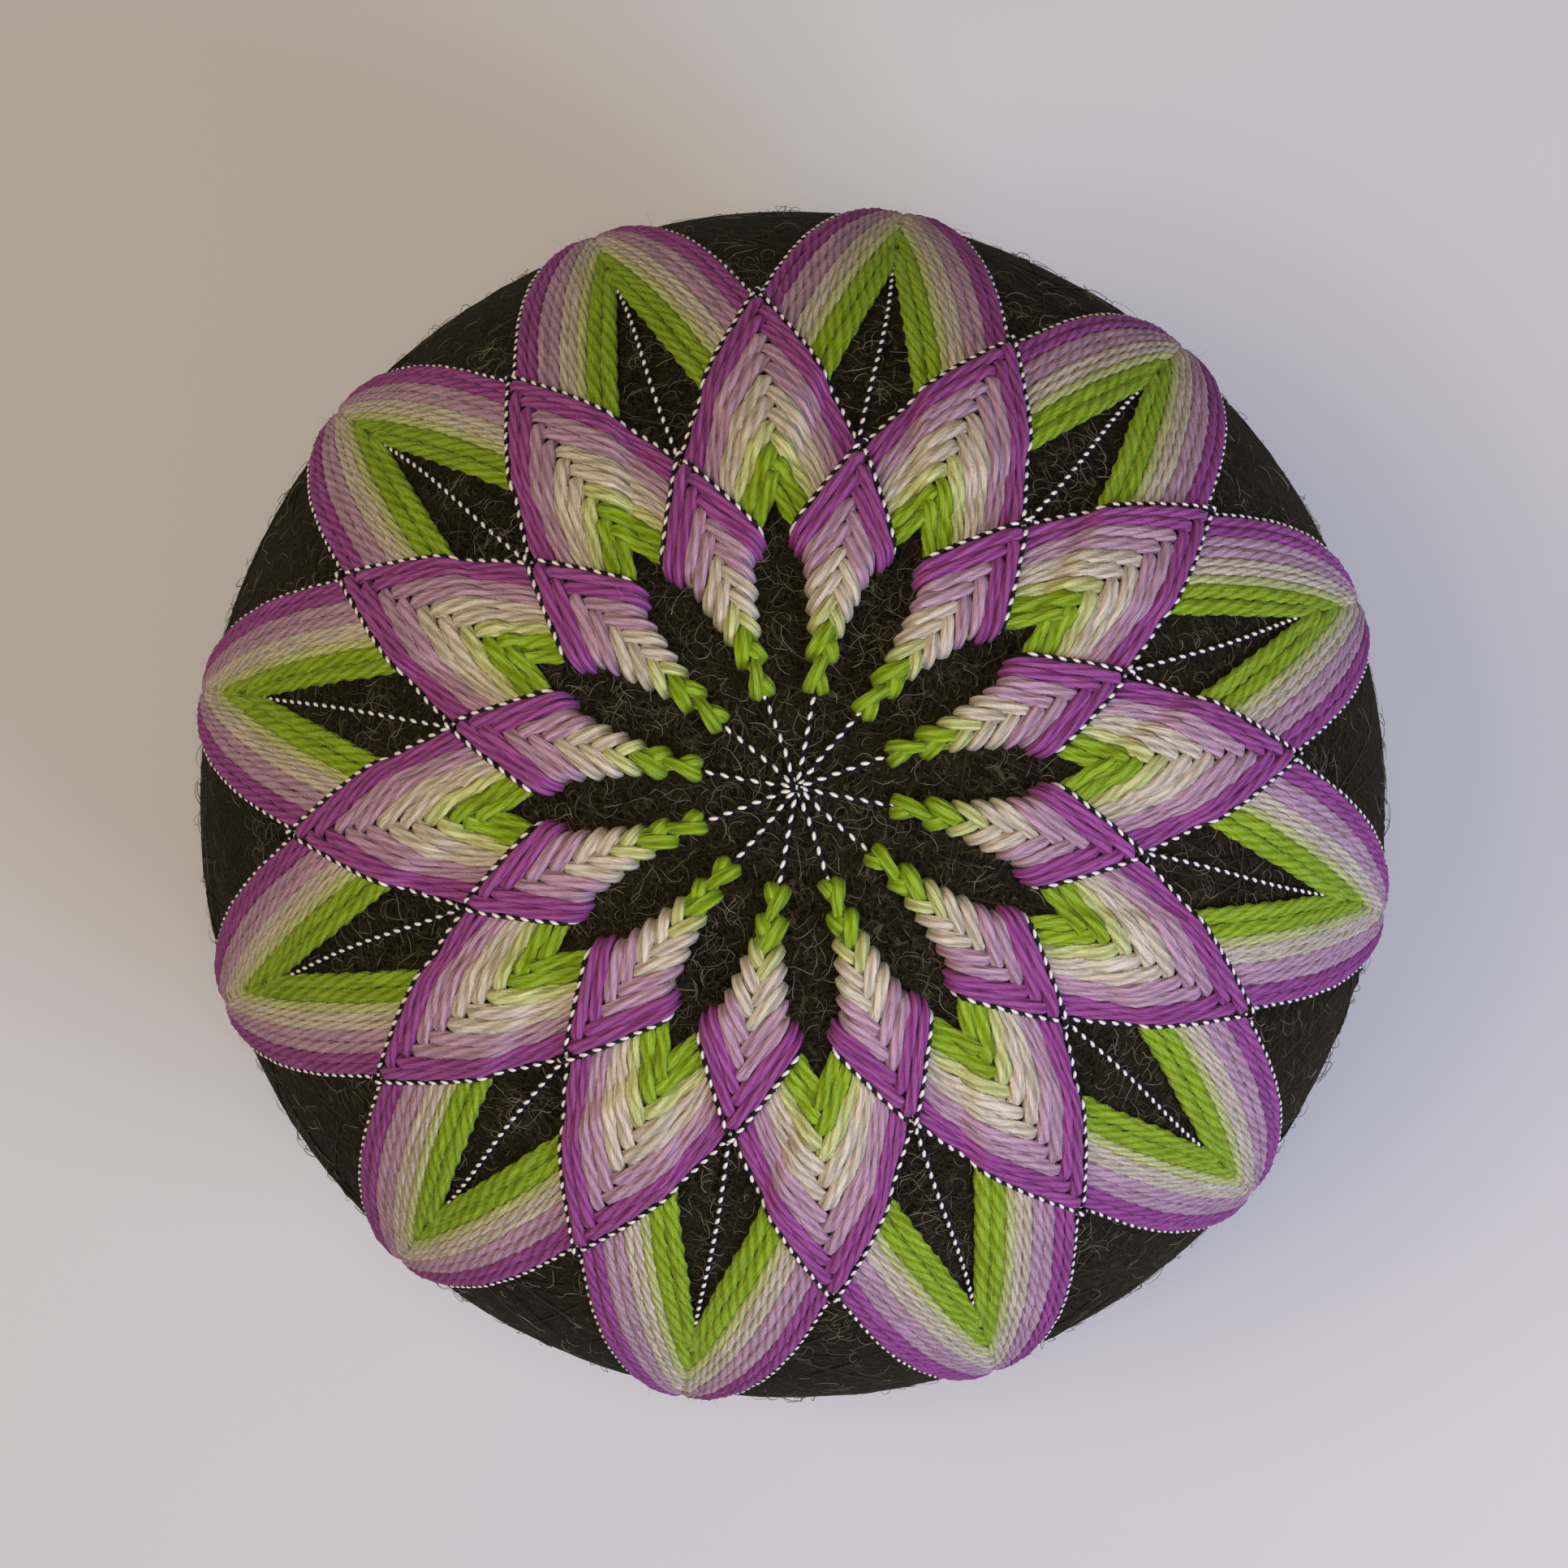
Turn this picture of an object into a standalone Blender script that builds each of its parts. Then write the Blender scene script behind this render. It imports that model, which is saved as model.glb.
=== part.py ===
"""A temari ball: a thread-wound ball on a small flat spot, with a chrysanthemum stitched round its north pole.

The pattern stands on twelve lines that run from pole to pole. Two stars of six V-shaped turns are stitched
over one another, one star on the even lines and one on the odd lines. Every V has its point on its own line,
and its two arms run up to the lines on each side, where they cross the arms of the next V. The rows of one
colour lie side by side, so each star has one closed band for each colour.

A place on the ball is (theta, phi): the angle down from the north pole, and the angle round it, clockwise
from +Y as seen from above, both in degrees. A place in the stitching is (row, phi), where row counts the
threads outwards from the innermost one, and phi is measured from the V's own line.
"""

import math
from collections import namedtuple

import bmesh
import bpy
import numpy as np
from mathutils import Vector

Edge = namedtuple("Edge", "row tip at_6 at_10 at_15 at_22 leaf end_along end_beside")
Band = namedtuple("Band", "colour first last shade")

# The ball, in metres.
BALL_RADIUS = 0.038
FLAT_SPOT_RADIUS = 0.006
BALL_SEGMENTS = 40
BALL_RINGS = 26

# The lines that the pattern stands on, in degrees. The axis of a mid petal lies halfway between two lines.
LINES = 12
LINE_STEP = 360 / LINES
MID_AXIS = LINE_STEP / 2
LEAF_AXIS = LINE_STEP

# A band of stitches, in metres: its thickness, and the height of its top above the ball where it lies under
# and over another band.
BAND_THICKNESS = 0.0004
UNDER_TOP = 0.0007
OVER_TOP = 0.0016

# In rows: half of the slit between two bands, the run in which an arm drops into the window inside a petal,
# and how far an arm reaches past the last band under its end.
SLIT_ROWS = 0.25
WINDOW_ROWS = 0.8
END_ROWS = 0.4

# The longest face along a band, in degrees of arc, the samples that measure its length, and the distance
# in metres within which corners are one.
LONGEST_STEP = 8.0
FINE_STEPS = 25
WELD = 0.00001

# The marking threads round the pole, in degrees of arc and then in metres.
MARKING_REACH = 5.4
MARKING_HALF_WIDTH = 0.38
MARKING_HUB = 1.5
MARKING_TOP = 0.0008
MARKING_THICKNESS = 0.0004

# How an edge between two colours runs, for the row number where it lies: theta where it meets the V's own
# line, at 6, 10, 15 and 22 degrees from it, and on the next line, then its end past that line, as the
# distance along the line and the distance beside it, all in degrees of arc.
EDGES = (
    Edge(-0.5, 56.3, 37.7, 31.1, 25.0, 18.6, 8.3, 6.4, 0.6),
    Edge(1.5, 67.3, 47.2, 38.1, 30.1, 24.4, 14.2, 11.3, 1.5),
    Edge(4.5, 77.5, 56.2, 46.0, 37.8, 30.9, 20.6, 16.1, 2.7),
    Edge(6.5, 83.0, 63.9, 53.1, 42.9, 35.0, 25.3, 18.8, 3.4),
    Edge(8.5, 87.5, 69.8, 59.6, 48.0, 38.4, 29.8, 21.2, 4.1),
)
EDGE_ANGLES = (0.0, 6.0, 10.0, 15.0, 22.0, 30.0)
INNERMOST = EDGES[0].row

# Each band's first and last edge row, and its thread's colour as linear red, green and blue.
BANDS = (
    Band("green", -0.5, 1.5, (0.216, 0.423, 0.013)),
    Band("cream", 1.5, 4.5, (0.623, 0.565, 0.456)),
    Band("lilac", 4.5, 6.5, (0.474, 0.328, 0.515)),
    Band("purple", 6.5, 8.5, (0.254, 0.028, 0.292)),
)
WRAP_COLOUR = (0.019, 0.016, 0.012)
MARKING_COLOUR = (0.500, 0.470, 0.400)

# The first star's V's are on the even lines and the second's on the odd lines. It is stitched later, so its
# rows lie over the first star's rows of the same number.
STARS = (("first_star", 0), ("second_star", 1))

BALL_CENTRE = Vector((0, 0, math.sqrt(BALL_RADIUS**2 - FLAT_SPOT_RADIUS**2)))


def clear_scene():
    for obj in list(bpy.data.objects):
        bpy.data.objects.remove(obj, do_unlink=True)


def thread_material(name, colour, roughness=0.85):
    material = bpy.data.materials.new(name)
    material.use_nodes = True
    shader = material.node_tree.nodes["Principled BSDF"]
    shader.inputs["Base Color"].default_value = (*colour, 1)
    shader.inputs["Roughness"].default_value = roughness
    shader.inputs["Metallic"].default_value = 0.0
    return material


def add_object(name, bm, material, sharp_angle=math.radians(40)):
    mesh = bpy.data.meshes.new(name)
    bm.to_mesh(mesh)
    bm.free()
    mesh.shade_smooth()
    mesh.set_sharp_from_angle(angle=sharp_angle)
    mesh.materials.append(material)
    obj = bpy.data.objects.new(name, mesh)
    bpy.context.scene.collection.objects.link(obj)
    return obj


def place(theta, phi, top):
    """The point over (theta, phi) at a height above the ball's surface."""
    t = math.radians(theta)
    p = math.radians(phi)
    out = Vector((math.sin(t) * math.sin(p), math.sin(t) * math.cos(p), math.cos(t)))
    return BALL_CENTRE + out * (BALL_RADIUS + top)


def spline(knots, values, wanted):
    """A natural cubic spline through the values at the knots, read at the wanted places."""
    steps = np.diff(knots)
    count = len(knots)
    system = np.eye(count)
    right = np.zeros_like(values)
    for i in range(1, count - 1):
        system[i, i - 1 : i + 2] = steps[i - 1], 2 * (steps[i - 1] + steps[i]), steps[i]
        rise = (values[i + 1] - values[i]) / steps[i] - (values[i] - values[i - 1]) / steps[i - 1]
        right[i] = 6 * rise
    bend = np.linalg.solve(system, right)
    k = np.clip(np.searchsorted(knots, wanted, side="right") - 1, 0, count - 2)
    to_next = (knots[k + 1] - wanted)[:, None]
    from_last = (wanted - knots[k])[:, None]
    step = steps[k][:, None]
    curve = (bend[k] * to_next**3 + bend[k + 1] * from_last**3) / (6 * step)
    curve += (values[k] / step - bend[k] * step / 6) * to_next
    return curve + (values[k + 1] / step - bend[k + 1] * step / 6) * from_last


def edge_curve(edge, grid):
    """Theta of one edge at each angle of the grid, from a spline drawn on a flat plan of the ball.

    The plan keeps theta as the distance from its middle and phi as the direction. The last point carries the
    edge straight on past its end, so that crossings beyond it can be worked out too.
    """
    thetas = np.array([edge.tip, edge.at_6, edge.at_10, edge.at_15, edge.at_22, edge.leaf])
    angles = np.radians(EDGE_ANGLES)
    points = np.stack([thetas * np.sin(angles), thetas * np.cos(angles)], axis=1)
    leaf = math.radians(LEAF_AXIS)
    along = np.array([math.sin(leaf), math.cos(leaf)])
    beside = np.array([math.cos(leaf), -math.sin(leaf)])
    end = along * edge.end_along + beside * edge.end_beside
    points = np.vstack([points, end, end + (end - points[-1])])
    knots = np.concatenate([[0], np.cumsum(np.linalg.norm(np.diff(points, axis=0), axis=1))])
    drawn = spline(knots, points, np.linspace(0, knots[-1], len(grid)))
    drawn_angle = np.degrees(np.arctan2(drawn[:, 0], drawn[:, 1]))
    return np.interp(grid, drawn_angle, np.linalg.norm(drawn, axis=1))


GRID_ANGLES = np.linspace(0, 50, 401)
GRID_ROWS = np.array([edge.row for edge in EDGES])
GRID_THETAS = np.array([edge_curve(edge, GRID_ANGLES) for edge in EDGES])
END_ANGLES = np.array([LEAF_AXIS + math.degrees(math.atan2(e.end_beside, e.end_along)) for e in EDGES])


def theta_of(row, phi):
    """Theta of a row at an angle from the V's line. Rows outside the table carry its slope on."""
    at_angle = [float(np.interp(phi, GRID_ANGLES, thetas)) for thetas in GRID_THETAS]
    k = int(np.clip(np.searchsorted(GRID_ROWS, row) - 1, 0, len(GRID_ROWS) - 2))
    share = (row - GRID_ROWS[k]) / (GRID_ROWS[k + 1] - GRID_ROWS[k])
    return at_angle[k] + share * (at_angle[k + 1] - at_angle[k])


def crossing(row, other_row, axis):
    """The angle where a row meets a row of the arm that mirrors its own across the axis, by halving."""
    low = 0.0
    high = 2 * axis
    for _ in range(50):
        middle = (low + high) / 2
        if theta_of(row, middle) > theta_of(other_row, 2 * axis - middle):
            low = middle
        else:
            high = middle
    return (low + high) / 2


def arm_stations(row, first, last, star):
    """(phi, height of the top) at each turn of one edge of an arm: from the V's point to the leaf's axis, and
    from there to the arm's end.

    An arm lies under the later rows of the arm that it crosses in the mid petal, climbs through the slit
    between two bands, lies over the earlier ones and drops again. It does the same where it crosses its own
    star's next arm in the leaf, but there the two bands of one colour share a diamond.
    """
    to_leaf = [(0.0, UNDER_TOP)]
    climb_at = last if star else first
    if climb_at > INNERMOST:
        to_leaf += [
            (crossing(row, climb_at + SLIT_ROWS, MID_AXIS), UNDER_TOP),
            (crossing(row, climb_at - SLIT_ROWS, MID_AXIS), OVER_TOP),
            (crossing(row, INNERMOST, MID_AXIS), OVER_TOP),
            (crossing(row, INNERMOST - WINDOW_ROWS, MID_AXIS), UNDER_TOP),
        ]
    to_leaf.append((crossing(row, last - SLIT_ROWS, LEAF_AXIS), UNDER_TOP))
    past_leaf = [(crossing(row, first + SLIT_ROWS, LEAF_AXIS), UNDER_TOP)]
    if first > INNERMOST:
        past_leaf += [
            (crossing(row, first - SLIT_ROWS, LEAF_AXIS), OVER_TOP),
            (crossing(row, INNERMOST, LEAF_AXIS), OVER_TOP),
        ]
    end = float(np.interp(row, GRID_ROWS, END_ANGLES))
    clear = crossing(row, INNERMOST - END_ROWS, LEAF_AXIS)
    past_leaf.append((max(end, clear), UNDER_TOP))
    return to_leaf, past_leaf


def stretch(row, start, end, count):
    """(theta, phi, top) at even distances along one row, between two of its stations."""
    share = np.linspace(0, 1, FINE_STEPS)
    phis = start[0] + share * (end[0] - start[0])
    thetas = np.array([theta_of(row, phi) for phi in phis])
    beside = np.sin(np.radians(thetas[1:])) * np.diff(phis)
    run = np.concatenate([[0], np.cumsum(np.hypot(np.diff(thetas), beside))])
    places = np.linspace(0, run[-1], count + 1)
    phi_at = np.interp(places, run, phis)
    top_at = start[1] + places / run[-1] * (end[1] - start[1])
    return [(theta_of(row, phi), float(phi), float(top)) for phi, top in zip(phi_at, top_at)], run[-1]


def strip_quads(rows, edges):
    """Faces between two edges of a strip, each four (theta, phi, top), no longer than the longest step."""
    quads = []
    for k in range(len(edges[0]) - 1):
        longest = max(stretch(row, edge[k], edge[k + 1], 1)[1] for row, edge in zip(rows, edges))
        count = max(1, math.ceil(longest / LONGEST_STEP))
        inner, outer = [
            stretch(row, edge[k], edge[k + 1], count)[0] for row, edge in zip(rows, edges)
        ]
        quads += [(inner[i], inner[i + 1], outer[i + 1], outer[i]) for i in range(count)]
    return quads


def arm_quads(first, last, star):
    """The faces of one arm, and the diamond on the leaf's axis that it shares with the arm it crosses."""
    rows = (first + SLIT_ROWS, last - SLIT_ROWS)
    stations = [arm_stations(row, first, last, star) for row in rows]
    own = strip_quads(rows, [to_leaf for to_leaf, _ in stations])
    own += strip_quads(rows, [past_leaf for _, past_leaf in stations])
    diamond = strip_quads(rows, [(to_leaf[-1], past_leaf[0]) for to_leaf, past_leaf in stations])
    return own, diamond


def turned(quad, side, turn):
    return [place(theta, side * phi + turn, top) for theta, phi, top in quad]


def skin_from_sheet(name, sheet, thickness, material):
    """A closed solid from the faces of its top: they are welded, and copied towards the ball's middle."""
    bm = bmesh.new()
    for quad in sheet:
        bm.faces.new([bm.verts.new(point) for point in quad])
    bmesh.ops.remove_doubles(bm, verts=bm.verts, dist=WELD)
    top_faces = list(bm.faces)
    rims = [edge for edge in bm.edges if len(edge.link_faces) == 1]
    below = {}
    for vert in list(bm.verts):
        out = vert.co - BALL_CENTRE
        below[vert] = bm.verts.new(BALL_CENTRE + out * (1 - thickness / out.length))
    for face in top_faces:
        bm.faces.new([below[vert] for vert in reversed(face.verts)])
    for edge in rims:
        start, end = edge.verts
        bm.faces.new([start, end, below[end], below[start]])
    bmesh.ops.recalc_face_normals(bm, faces=bm.faces)
    return add_object(name, bm, material)


def wound_ball():
    """A sphere of wound thread, cut level at the bottom where it rests."""
    bm = bmesh.new()
    bmesh.ops.create_uvsphere(bm, u_segments=BALL_SEGMENTS, v_segments=BALL_RINGS, radius=BALL_RADIUS)
    bmesh.ops.translate(bm, verts=bm.verts, vec=BALL_CENTRE)
    everything = list(bm.verts) + list(bm.edges) + list(bm.faces)
    bmesh.ops.bisect_plane(
        bm, geom=everything, plane_co=(0, 0, 0), plane_no=(0, 0, -1), clear_outer=True
    )
    rim = [edge for edge in bm.edges if edge.is_boundary]
    bmesh.ops.edgeloop_fill(bm, edges=rim)
    bmesh.ops.recalc_face_normals(bm, faces=bm.faces)
    return add_object("wound_ball", bm, thread_material("wound wool", WRAP_COLOUR, 0.95))


def star_band(star_name, star, band):
    """One colour of one star: six V's of two arms each, joined where neighbours cross in the leaves."""
    own, diamond = arm_quads(band.first, band.last, star)
    sheet = []
    for turn in range(LINES // 2):
        line = (2 * turn + star) * LINE_STEP
        sheet += [turned(quad, 1, line) for quad in own + diamond]
        sheet += [turned(quad, -1, line) for quad in own]
    material = thread_material(f"{band.colour} cotton", band.shade)
    return skin_from_sheet(f"{star_name}_{band.colour}", sheet, BAND_THICKNESS, material)


def marking_threads():
    """The twelve marking lines where they show round the pole: a hub with one flat spoke on each line."""
    hub_half = math.degrees(math.asin(MARKING_HALF_WIDTH / MARKING_HUB))
    sheet = []
    for line in range(LINES):
        middle = line * LINE_STEP
        left = (MARKING_HUB, middle - hub_half, MARKING_TOP)
        right = (MARKING_HUB, middle + hub_half, MARKING_TOP)
        next_left = (MARKING_HUB, middle + LINE_STEP - hub_half, MARKING_TOP)
        pole = (0.0, 0.0, MARKING_TOP)
        tip_half = math.degrees(math.asin(MARKING_HALF_WIDTH / MARKING_REACH))
        tip_left = (MARKING_REACH, middle - tip_half, MARKING_TOP)
        tip_right = (MARKING_REACH, middle + tip_half, MARKING_TOP)
        sheet.append([place(*corner) for corner in (pole, left, right)])
        sheet.append([place(*corner) for corner in (pole, right, next_left)])
        sheet.append([place(*corner) for corner in (left, tip_left, tip_right, right)])
    material = thread_material("marking thread", MARKING_COLOUR)
    return skin_from_sheet("marking_threads", sheet, MARKING_THICKNESS, material)


def main():
    clear_scene()
    wound_ball()
    marking_threads()
    for star_name, star in STARS:
        for band in BANDS:
            star_band(star_name, star, band)


main()
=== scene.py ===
"""The finished looks of the temari ball: wound wool, stitched cotton rows, and two-coloured fine thread.

The pattern is a chrysanthemum round the north pole. Two stars of six V-shaped turns each are stitched in ten
rows: nine of plump cotton and an outline of fine thread. A place on the ball is (theta, phi): the angle down
from the pole and the angle round it, clockwise from +Y as seen from above, in degrees. A row is a number
that counts the threads outwards from the innermost one, and phi is then measured from the V's own line.
"""

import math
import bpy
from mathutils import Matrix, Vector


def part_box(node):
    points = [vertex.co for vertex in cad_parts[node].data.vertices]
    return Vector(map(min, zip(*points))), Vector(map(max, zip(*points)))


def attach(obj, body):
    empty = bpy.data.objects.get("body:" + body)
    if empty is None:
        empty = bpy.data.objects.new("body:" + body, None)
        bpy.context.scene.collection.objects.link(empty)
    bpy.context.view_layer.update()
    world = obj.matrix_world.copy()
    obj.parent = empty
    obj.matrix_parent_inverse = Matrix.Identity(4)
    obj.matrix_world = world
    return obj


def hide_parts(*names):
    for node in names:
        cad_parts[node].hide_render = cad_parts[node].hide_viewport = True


bl_info = {
    "name": "Temari Ball",
    "version": (1, 0, 0),
    "blender": (4, 5, 0),
    "location": "View3D > Sidebar > Temari",
    "description": "Dresses the temari ball in wound wool and stitched thread",
    "category": "Add Mesh",
}

from collections import namedtuple

import bpy
import numpy as np
from bpy.props import FloatProperty, FloatVectorProperty, IntProperty, PointerProperty
from mathutils import Matrix, Vector

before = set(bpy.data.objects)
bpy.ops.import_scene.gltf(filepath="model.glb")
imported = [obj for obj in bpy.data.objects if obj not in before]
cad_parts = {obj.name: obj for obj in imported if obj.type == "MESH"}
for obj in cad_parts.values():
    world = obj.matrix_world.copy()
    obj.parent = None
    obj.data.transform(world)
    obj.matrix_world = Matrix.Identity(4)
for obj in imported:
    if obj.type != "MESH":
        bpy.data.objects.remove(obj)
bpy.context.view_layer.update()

MM = 0.001
Edge = namedtuple("Edge", "row tip at_6 at_10 at_15 at_22 leaf end_along end_beside")
Cotton = namedtuple("Cotton", "colour node")

# The ball as the frame holds it, in metres.
BALL_LOW, BALL_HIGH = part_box("wound_ball")
BALL_RADIUS = (BALL_HIGH.x - BALL_LOW.x) / 2
BALL_CENTRE = np.array([0.0, 0.0, BALL_HIGH.z - BALL_RADIUS])

# The lines that the pattern stands on, in degrees, and the axes that the arms are mirrored across.
LINES = 12
LINE_STEP = 360 / LINES
MID_AXIS = 15
LEAF_AXIS = 30

# How an edge between two colours runs, for the row number where it lies: theta where it meets the V's own
# line, at 6, 10, 15 and 22 degrees from it, and on the next line, then its end past that line, as the
# distance along the line and the distance beside it, all in degrees of arc.
EDGES = (
    Edge(-0.5, 56.3, 37.7, 31.1, 25.0, 18.6, 8.3, 6.4, 0.6),
    Edge(1.5, 67.3, 47.2, 38.1, 30.1, 24.4, 14.2, 11.3, 1.5),
    Edge(4.5, 77.5, 56.2, 46.0, 37.8, 30.9, 20.6, 16.1, 2.7),
    Edge(6.5, 83.0, 63.9, 53.1, 42.9, 35.0, 25.3, 18.8, 3.4),
    Edge(8.5, 87.5, 69.8, 59.6, 48.0, 38.4, 29.8, 21.2, 4.1),
    Edge(9.5, 89.5, 72.6, 61.4, 50.2, 40.3, 31.6, 22.4, 4.4),
)
EDGE_ANGLES = (0.0, 6.0, 10.0, 15.0, 22.0, 30.0)

# The rows where the stitches begin and end.
INNERMOST = EDGES[0].row
OUTERMOST = 9.2

# How far past its edge's end an arm's middle goes, in degrees of arc, for some of the rows.
SLACK_ROWS = (0.0, 2.0, 6.0, 7.5)
END_SLACK = (-0.2, -0.55, -0.6, 0.25)

# The row's centre line that the fine outline follows.
OUTLINE_ROW = 8.86

# Rows take their colours in this order, from the innermost outwards. Each row belongs to the colour band
# of one solid.
COTTONS = (
    Cotton("green", "green"),
    Cotton("green", "green"),
    Cotton("straw", "cream"),
    Cotton("cream", "cream"),
    Cotton("cream", "cream"),
    Cotton("lilac", "lilac"),
    Cotton("lilac", "lilac"),
    Cotton("purple", "purple"),
    Cotton("purple", "purple"),
)
STARS = ("first_star", "second_star")
FULL_TURN = 2 * math.pi

# The camera looks down on the pole. These are how far the picture's upward direction is turned from +Y and
# how far the view leans from straight down, in degrees, to which side it leans, as shares of right and up,
# its lens in millimetres, its shift, and its distance from the ball's middle in ball radii.
CAMERA_TURN = 19.4
CAMERA_TILT = 1.41
CAMERA_LEAN = (-0.2436, -0.9699)
CAMERA_LENS = 80.47
CAMERA_SHIFT = (-0.00538, 0.0131)
CAMERA_DISTANCE = 6


def linear(colour):
    """An sRGB hex colour as the linear red, green, blue and alpha that shaders take."""
    channels = [int(colour[i : i + 2], 16) / 255 for i in (0, 2, 4)]
    return (*[c / 12.92 if c <= 0.04045 else ((c + 0.055) / 1.055) ** 2.4 for c in channels], 1.0)


def unit(vectors):
    return vectors / np.linalg.norm(vectors, axis=-1, keepdims=True)


def smooth(x):
    """0 below 0, 1 above 1, and an even S between them."""
    x = np.clip(x, 0.0, 1.0)
    return x * x * (3 - 2 * x)


def direction(theta, phi):
    """The outward unit vector at (theta, phi), in degrees."""
    t = np.radians(theta)
    p = np.radians(phi)
    return np.stack([np.sin(t) * np.sin(p), np.sin(t) * np.cos(p), np.cos(t) + 0 * p], axis=-1)


def spline(knots, values, wanted):
    """A natural cubic spline through the values at the knots, read at the wanted places."""
    steps = np.diff(knots)
    count = len(knots)
    system = np.eye(count)
    right = np.zeros_like(values)
    for i in range(1, count - 1):
        system[i, i - 1 : i + 2] = steps[i - 1], 2 * (steps[i - 1] + steps[i]), steps[i]
        rise = (values[i + 1] - values[i]) / steps[i] - (values[i] - values[i - 1]) / steps[i - 1]
        right[i] = 6 * rise
    bend = np.linalg.solve(system, right)
    k = np.clip(np.searchsorted(knots, wanted, side="right") - 1, 0, count - 2)
    to_next = (knots[k + 1] - wanted)[:, None]
    from_last = (wanted - knots[k])[:, None]
    step = steps[k][:, None]
    curve = (bend[k] * to_next**3 + bend[k + 1] * from_last**3) / (6 * step)
    curve += (values[k] / step - bend[k] * step / 6) * to_next
    return curve + (values[k + 1] / step - bend[k + 1] * step / 6) * from_last


def edge_curve(edge, grid):
    """Theta of one edge at each angle of the grid, from a spline drawn on a flat plan of the ball.

    The plan keeps theta as the distance from its middle and phi as the direction. The last point carries the
    edge straight on past its end.
    """
    thetas = np.array([edge.tip, edge.at_6, edge.at_10, edge.at_15, edge.at_22, edge.leaf])
    angles = np.radians(EDGE_ANGLES)
    points = np.stack([thetas * np.sin(angles), thetas * np.cos(angles)], axis=1)
    leaf = math.radians(LEAF_AXIS)
    along = np.array([math.sin(leaf), math.cos(leaf)])
    beside = np.array([math.cos(leaf), -math.sin(leaf)])
    end = along * edge.end_along + beside * edge.end_beside
    points = np.vstack([points, end, end + (end - points[-1])])
    knots = np.concatenate([[0], np.cumsum(np.linalg.norm(np.diff(points, axis=0), axis=1))])
    drawn = spline(knots, points, np.linspace(0, knots[-1], len(grid)))
    drawn_angle = np.degrees(np.arctan2(drawn[:, 0], drawn[:, 1]))
    return np.interp(grid, drawn_angle, np.linalg.norm(drawn, axis=1))


GRID_ANGLES = np.linspace(0, 50, 401)
GRID_ROWS = np.array([edge.row for edge in EDGES])
GRID_THETAS = np.array([edge_curve(edge, GRID_ANGLES) for edge in EDGES])
END_ANGLES = np.array([LEAF_AXIS + math.degrees(math.atan2(e.end_beside, e.end_along)) for e in EDGES])


def picked(table, index):
    return np.take_along_axis(table, index[None], axis=0)[0]


def thetas_of_edges(phis):
    return np.array([np.interp(phis, GRID_ANGLES, thetas) for thetas in GRID_THETAS])


def row_theta(rows, phis):
    """Theta of each row at each angle from the V's line. Rows outside the table carry its slope on."""
    rows, phis = np.broadcast_arrays(rows, phis)
    table = thetas_of_edges(phis)
    k = np.clip(np.searchsorted(GRID_ROWS, rows) - 1, 0, len(GRID_ROWS) - 2)
    share = (rows - GRID_ROWS[k]) / (GRID_ROWS[k + 1] - GRID_ROWS[k])
    low = picked(table, k)
    return low + share * (picked(table, k + 1) - low)


def row_at(thetas, phis):
    """The row that passes through each place: the inverse of row_theta."""
    thetas, phis = np.broadcast_arrays(thetas, phis)
    table = thetas_of_edges(phis)
    k = np.clip((table < thetas).sum(axis=0) - 1, 0, len(GRID_ROWS) - 2)
    low = picked(table, k)
    share = (thetas - low) / (picked(table, k + 1) - low)
    return GRID_ROWS[k] + share * (GRID_ROWS[k + 1] - GRID_ROWS[k])


def end_angle(row):
    """How far round from its V's line an arm's middle reaches, in degrees. An arm of row r ends at about
    8 + 1.5 r degrees to the leaf's axis, so a slack across the axis is longer along the arm."""
    slack = float(np.interp(row, SLACK_ROWS, END_SLACK))
    return float(np.interp(row, GRID_ROWS, END_ANGLES)) + slack / math.sin(math.radians(8 + 1.5 * row))


def waves(rng, count, along, lengths):
    """Small smooth unevenness between about -1 and 1 for each of several threads: a sum of sines along it,
    with the given wave lengths and chance phases."""
    total = np.zeros((count, along.shape[-1]))
    for length in lengths:
        phase = rng.uniform(0, FULL_TURN, (count, 1))
        total += np.sin(along * (FULL_TURN / length) + phase)
    return total / len(lengths)


def stations(length, step, fine_step, fine_places, reach):
    """Places along a path: a step apart, closing up to the fine step within reach of the fine places."""
    fine = np.linspace(0, length, 4000)
    near = np.min([np.abs(fine - place) for place in fine_places], axis=0)
    local = fine_step + (step - fine_step) * smooth(near / reach - 0.5)
    count = np.concatenate([[0], np.cumsum(np.diff(fine) * 2 / (local[1:] + local[:-1]))])
    wanted = np.linspace(0, count[-1], int(math.ceil(count[-1])) + 1)
    return np.interp(wanted, count, fine)


def frames(outs, points):
    """The sideways and outward unit vectors of a path over the ball, square to its own run. The sideways one
    comes from the path's shadow on the ball, so it holds where the path dives straight in."""
    shadow = unit(np.gradient(outs, axis=-2))
    run = unit(np.gradient(points, axis=-2))
    sideways = unit(np.cross(shadow, outs))
    return sideways, unit(np.cross(sideways, run))


def corners_round(sides):
    """The angle of each corner of a ring."""
    return np.arange(sides) * FULL_TURN / sides


def lie_on_thread(along, angles, radius):
    """Where each corner lies on its own thread, in millimetres: along it, and on a circle across it."""
    across = np.stack([np.cos(angles), np.sin(angles)], axis=-1) * radius
    return np.concatenate([np.broadcast_to(along[..., None, None], angles.shape + (1,)), across], axis=-1)


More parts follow.
